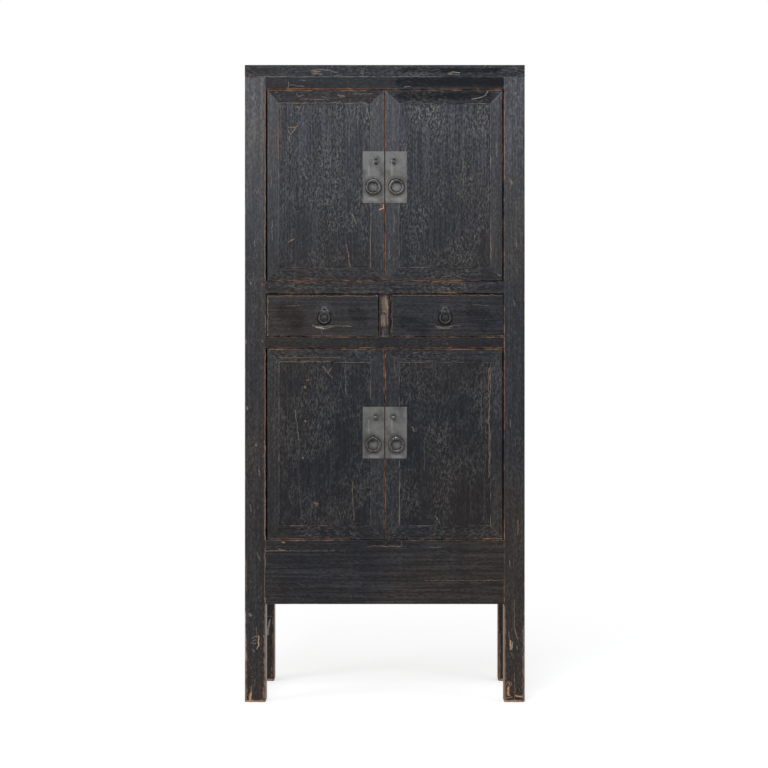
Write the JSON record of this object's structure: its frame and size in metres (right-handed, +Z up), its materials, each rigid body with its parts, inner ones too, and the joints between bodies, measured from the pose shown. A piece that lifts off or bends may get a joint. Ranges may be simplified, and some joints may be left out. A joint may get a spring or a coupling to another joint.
{
  "type": "tall two-tier cabinet",
  "caption": "Tall black lacquered cabinet with framed doors above and below a row of drawers, on straight legs with an apron, with ring pulls on grey plates.",
  "frame": {"origin": "floor level, middle of the whole box in X and Y", "axes": "+X to the right seen from the front, +Y to the back, +Z up; the doors face -Y"},
  "size_m": [0.868, 0.4876, 1.976],
  "materials": {
    "black_lacquer": "old black lacquer, worn at the arrises",
    "lacquered_panel": "old black lacquer with fine upright crackle",
    "back_lacquer": "thin dark stain",
    "bare_wood": "bare softwood, aged brown",
    "plate_metal": "aged grey metal sheet, matt",
    "ring_metal": "dark aged metal, rubbed where it is handled"
  },
  "bodies": {
    "cabinet": {"post_front_left": "black_lacquer", "post_front_right": "black_lacquer", "post_back_left": "black_lacquer", "post_back_right": "black_lacquer", "top_frame": "black_lacquer", "top_panel": "lacquered_panel", "front_top_rail": "black_lacquer", "upper_drawer_rail": "black_lacquer", "lower_drawer_rail": "black_lacquer", "front_bottom_rail": "black_lacquer", "threshold_strip": "black_lacquer", "drawer_divider": "black_lacquer", "front_apron": "lacquered_panel", "side_aprons": "lacquered_panel", "side_rails": "black_lacquer", "side_panels": "lacquered_panel", "back_rails": "back_lacquer", "back_panels": "back_lacquer", "cupboard_floors": "bare_wood", "shelves": "bare_wood", "shelf_cleats": "bare_wood", "drawer_runners": "bare_wood", "door_stops": "bare_wood"},
    "upper_door_left": {"upper_door_left_stiles": "black_lacquer", "upper_door_left_rails": "black_lacquer", "upper_door_left_panel": "lacquered_panel", "upper_door_left_plate": "plate_metal", "upper_door_left_eyes": "ring_metal"},
    "upper_ring_left": {"upper_door_left_ring": "ring_metal"},
    "upper_door_right": {"upper_door_right_stiles": "black_lacquer", "upper_door_right_rails": "black_lacquer", "upper_door_right_panel": "lacquered_panel", "upper_door_right_plate": "plate_metal", "upper_door_right_eyes": "ring_metal"},
    "upper_ring_right": {"upper_door_right_ring": "ring_metal"},
    "lower_door_left": {"lower_door_left_stiles": "black_lacquer", "lower_door_left_rails": "black_lacquer", "lower_door_left_panel": "lacquered_panel", "lower_door_left_plate": "plate_metal", "lower_door_left_eyes": "ring_metal"},
    "lower_ring_left": {"lower_door_left_ring": "ring_metal"},
    "lower_door_right": {"lower_door_right_stiles": "black_lacquer", "lower_door_right_rails": "black_lacquer", "lower_door_right_panel": "lacquered_panel", "lower_door_right_plate": "plate_metal", "lower_door_right_eyes": "ring_metal"},
    "lower_ring_right": {"lower_door_right_ring": "ring_metal"},
    "drawer_left": {"drawer_left_front": "black_lacquer", "drawer_left_sides": "bare_wood", "drawer_left_back": "bare_wood", "drawer_left_bottom": "bare_wood", "drawer_left_eye": "ring_metal"},
    "drawer_ring_left": {"drawer_left_ring": "ring_metal"},
    "drawer_right": {"drawer_right_front": "black_lacquer", "drawer_right_sides": "bare_wood", "drawer_right_back": "bare_wood", "drawer_right_bottom": "bare_wood", "drawer_right_eye": "ring_metal"},
    "drawer_ring_right": {"drawer_right_ring": "ring_metal"}
  },
  "joints": [
    {"name": "upper_door_left_hinge", "type": "hinge", "parent": "cabinet", "child": "upper_door_left", "pos_m": [-0.353, -0.21515, 1.307], "axis": [0, 0, -1], "range_deg": [0, 110]},
    {"name": "upper_ring_left_swing", "type": "hinge", "parent": "upper_door_left", "child": "upper_ring_left", "pos_m": [-0.036, -0.23585, 1.6179], "axis": [-1, 0, 0], "range_deg": [-5, 165]},
    {"name": "upper_door_right_hinge", "type": "hinge", "parent": "cabinet", "child": "upper_door_right", "pos_m": [0.353, -0.21515, 1.307], "axis": [0, 0, 1], "range_deg": [0, 110]},
    {"name": "upper_ring_right_swing", "type": "hinge", "parent": "upper_door_right", "child": "upper_ring_right", "pos_m": [0.036, -0.23585, 1.6179], "axis": [-1, 0, 0], "range_deg": [-5, 165]},
    {"name": "lower_door_left_hinge", "type": "hinge", "parent": "cabinet", "child": "lower_door_left", "pos_m": [-0.353, -0.21515, 0.505], "axis": [0, 0, -1], "range_deg": [0, 110]},
    {"name": "lower_ring_left_swing", "type": "hinge", "parent": "lower_door_left", "child": "lower_ring_left", "pos_m": [-0.036, -0.23585, 0.8199], "axis": [-1, 0, 0], "range_deg": [-5, 165]},
    {"name": "lower_door_right_hinge", "type": "hinge", "parent": "cabinet", "child": "lower_door_right", "pos_m": [0.353, -0.21515, 0.505], "axis": [0, 0, 1], "range_deg": [0, 110]},
    {"name": "lower_ring_right_swing", "type": "hinge", "parent": "lower_door_right", "child": "lower_ring_right", "pos_m": [0.036, -0.23585, 0.8199], "axis": [-1, 0, 0], "range_deg": [-5, 165]},
    {"name": "drawer_left_slide", "type": "slide", "parent": "cabinet", "child": "drawer_left", "axis": [0, -1, 0], "range_m": [0, 0.3]},
    {"name": "drawer_ring_left_swing", "type": "hinge", "parent": "drawer_left", "child": "drawer_ring_left", "pos_m": [-0.18725, -0.23485, 1.2082], "axis": [-1, 0, 0], "range_deg": [-5, 165]},
    {"name": "drawer_right_slide", "type": "slide", "parent": "cabinet", "child": "drawer_right", "axis": [0, -1, 0], "range_m": [0, 0.3]},
    {"name": "drawer_ring_right_swing", "type": "hinge", "parent": "drawer_right", "child": "drawer_ring_right", "pos_m": [0.18725, -0.23485, 1.2082], "axis": [-1, 0, 0], "range_deg": [-5, 165]}
  ]
}
